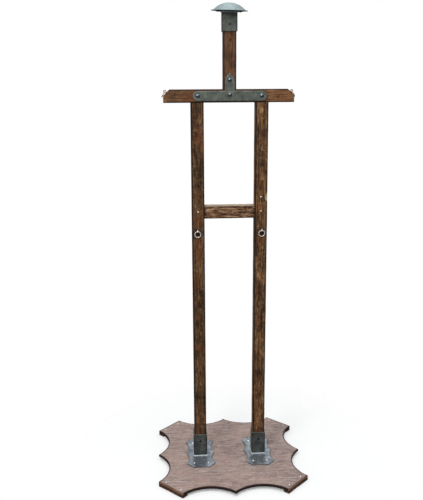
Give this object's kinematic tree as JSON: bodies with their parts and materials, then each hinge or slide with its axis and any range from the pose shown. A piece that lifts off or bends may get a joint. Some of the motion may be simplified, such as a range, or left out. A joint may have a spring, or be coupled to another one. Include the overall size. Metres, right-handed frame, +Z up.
{
  "type": "armour display stand",
  "caption": "Free-standing wooden stand for a suit of armour: scalloped base, twin posts in steel sockets, rung, shoulder bar with tie rings, and a neck post with a domed cap.",
  "frame": {"origin": "on the floor, under the middle of the base", "axes": "+Z up, the front with the T strap faces -Y, and the shoulder bar runs along X"},
  "size_m": [0.604, 0.604, 1.857],
  "materials": {
    "base_wood": "pale grey-brown stain, worn",
    "strip_wood": "dark brown stain",
    "post_wood": "dark red-brown stain, low sheen",
    "bar_wood": "orange-brown stain, low sheen",
    "rung_wood": "weathered brown, rough",
    "dark_iron": "grey-green blackened iron, satin",
    "plate_steel": "grey oiled steel",
    "dome_steel": "planished steel, satin",
    "weld_steel": "ground weld",
    "bolt_steel": "dark polished steel",
    "screw_steel": "dull steel",
    "zinc_steel": "bright zinc",
    "bright_wire": "bright nickel, lightly worn"
  },
  "bodies": {
    "stand": {"base_board": "base_wood", "corner_screws": "zinc_steel", "rung": "rung_wood", "rung_screws": "screw_steel", "spare_post_screw": "screw_steel", "shoulder_bar": "bar_wood", "neck_post": "post_wood", "shoulder_strap": "dark_iron", "neck_strap": "dark_iron", "strap_bolts": "bolt_steel", "strap_washers": "zinc_steel", "strap_nuts": "zinc_steel", "cap_sleeve": "dark_iron", "cap_weld": "weld_steel", "cap_plate": "dark_iron", "cap_brim": "dome_steel", "cap_dome": "dome_steel", "cap_dome_weld": "dome_steel", "cap_rivets": "dark_iron", "cap_screws": "screw_steel", "corner_strip_front_left": "strip_wood", "corner_strip_front_right": "strip_wood", "corner_strip_rear_left": "strip_wood", "corner_strip_rear_right": "strip_wood", "socket_plate_left": "plate_steel", "socket_tube_left": "dark_iron", "socket_weld_left": "weld_steel", "socket_plate_screws_left": "zinc_steel", "socket_tube_screws_left": "screw_steel", "post_left": "post_wood", "post_eye_left": "bright_wire", "shoulder_eye_left": "bright_wire", "socket_plate_right": "plate_steel", "socket_tube_right": "dark_iron", "socket_weld_right": "weld_steel", "socket_plate_screws_right": "zinc_steel", "socket_tube_screws_right": "screw_steel", "post_right": "post_wood", "post_eye_right": "bright_wire", "shoulder_eye_right": "bright_wire"},
    "post_ring_left": {"post_ring_left": "bright_wire"},
    "shoulder_ring_left": {"shoulder_ring_left": "bright_wire"},
    "post_ring_right": {"post_ring_right": "bright_wire"},
    "shoulder_ring_right": {"shoulder_ring_right": "bright_wire"}
  },
  "joints": [
    {"name": "post_ring_left_swing", "type": "hinge", "parent": "stand", "child": "post_ring_left", "pos_m": [-0.1265, -0.03175, 1.002], "axis": [-1, 0, 0], "range_deg": [-10, 190]},
    {"name": "shoulder_ring_left_swing", "type": "hinge", "parent": "stand", "child": "shoulder_ring_left", "pos_m": [-0.24445, 0, 1.53845], "axis": [0, 1, 0], "range_deg": [0, 208]},
    {"name": "post_ring_right_swing", "type": "hinge", "parent": "stand", "child": "post_ring_right", "pos_m": [0.1265, -0.03175, 1.002], "axis": [-1, 0, 0], "range_deg": [-10, 190]},
    {"name": "shoulder_ring_right_swing", "type": "hinge", "parent": "stand", "child": "shoulder_ring_right", "pos_m": [0.23845, 0, 1.53845], "axis": [0, -1, 0], "range_deg": [0, 208]}
  ]
}
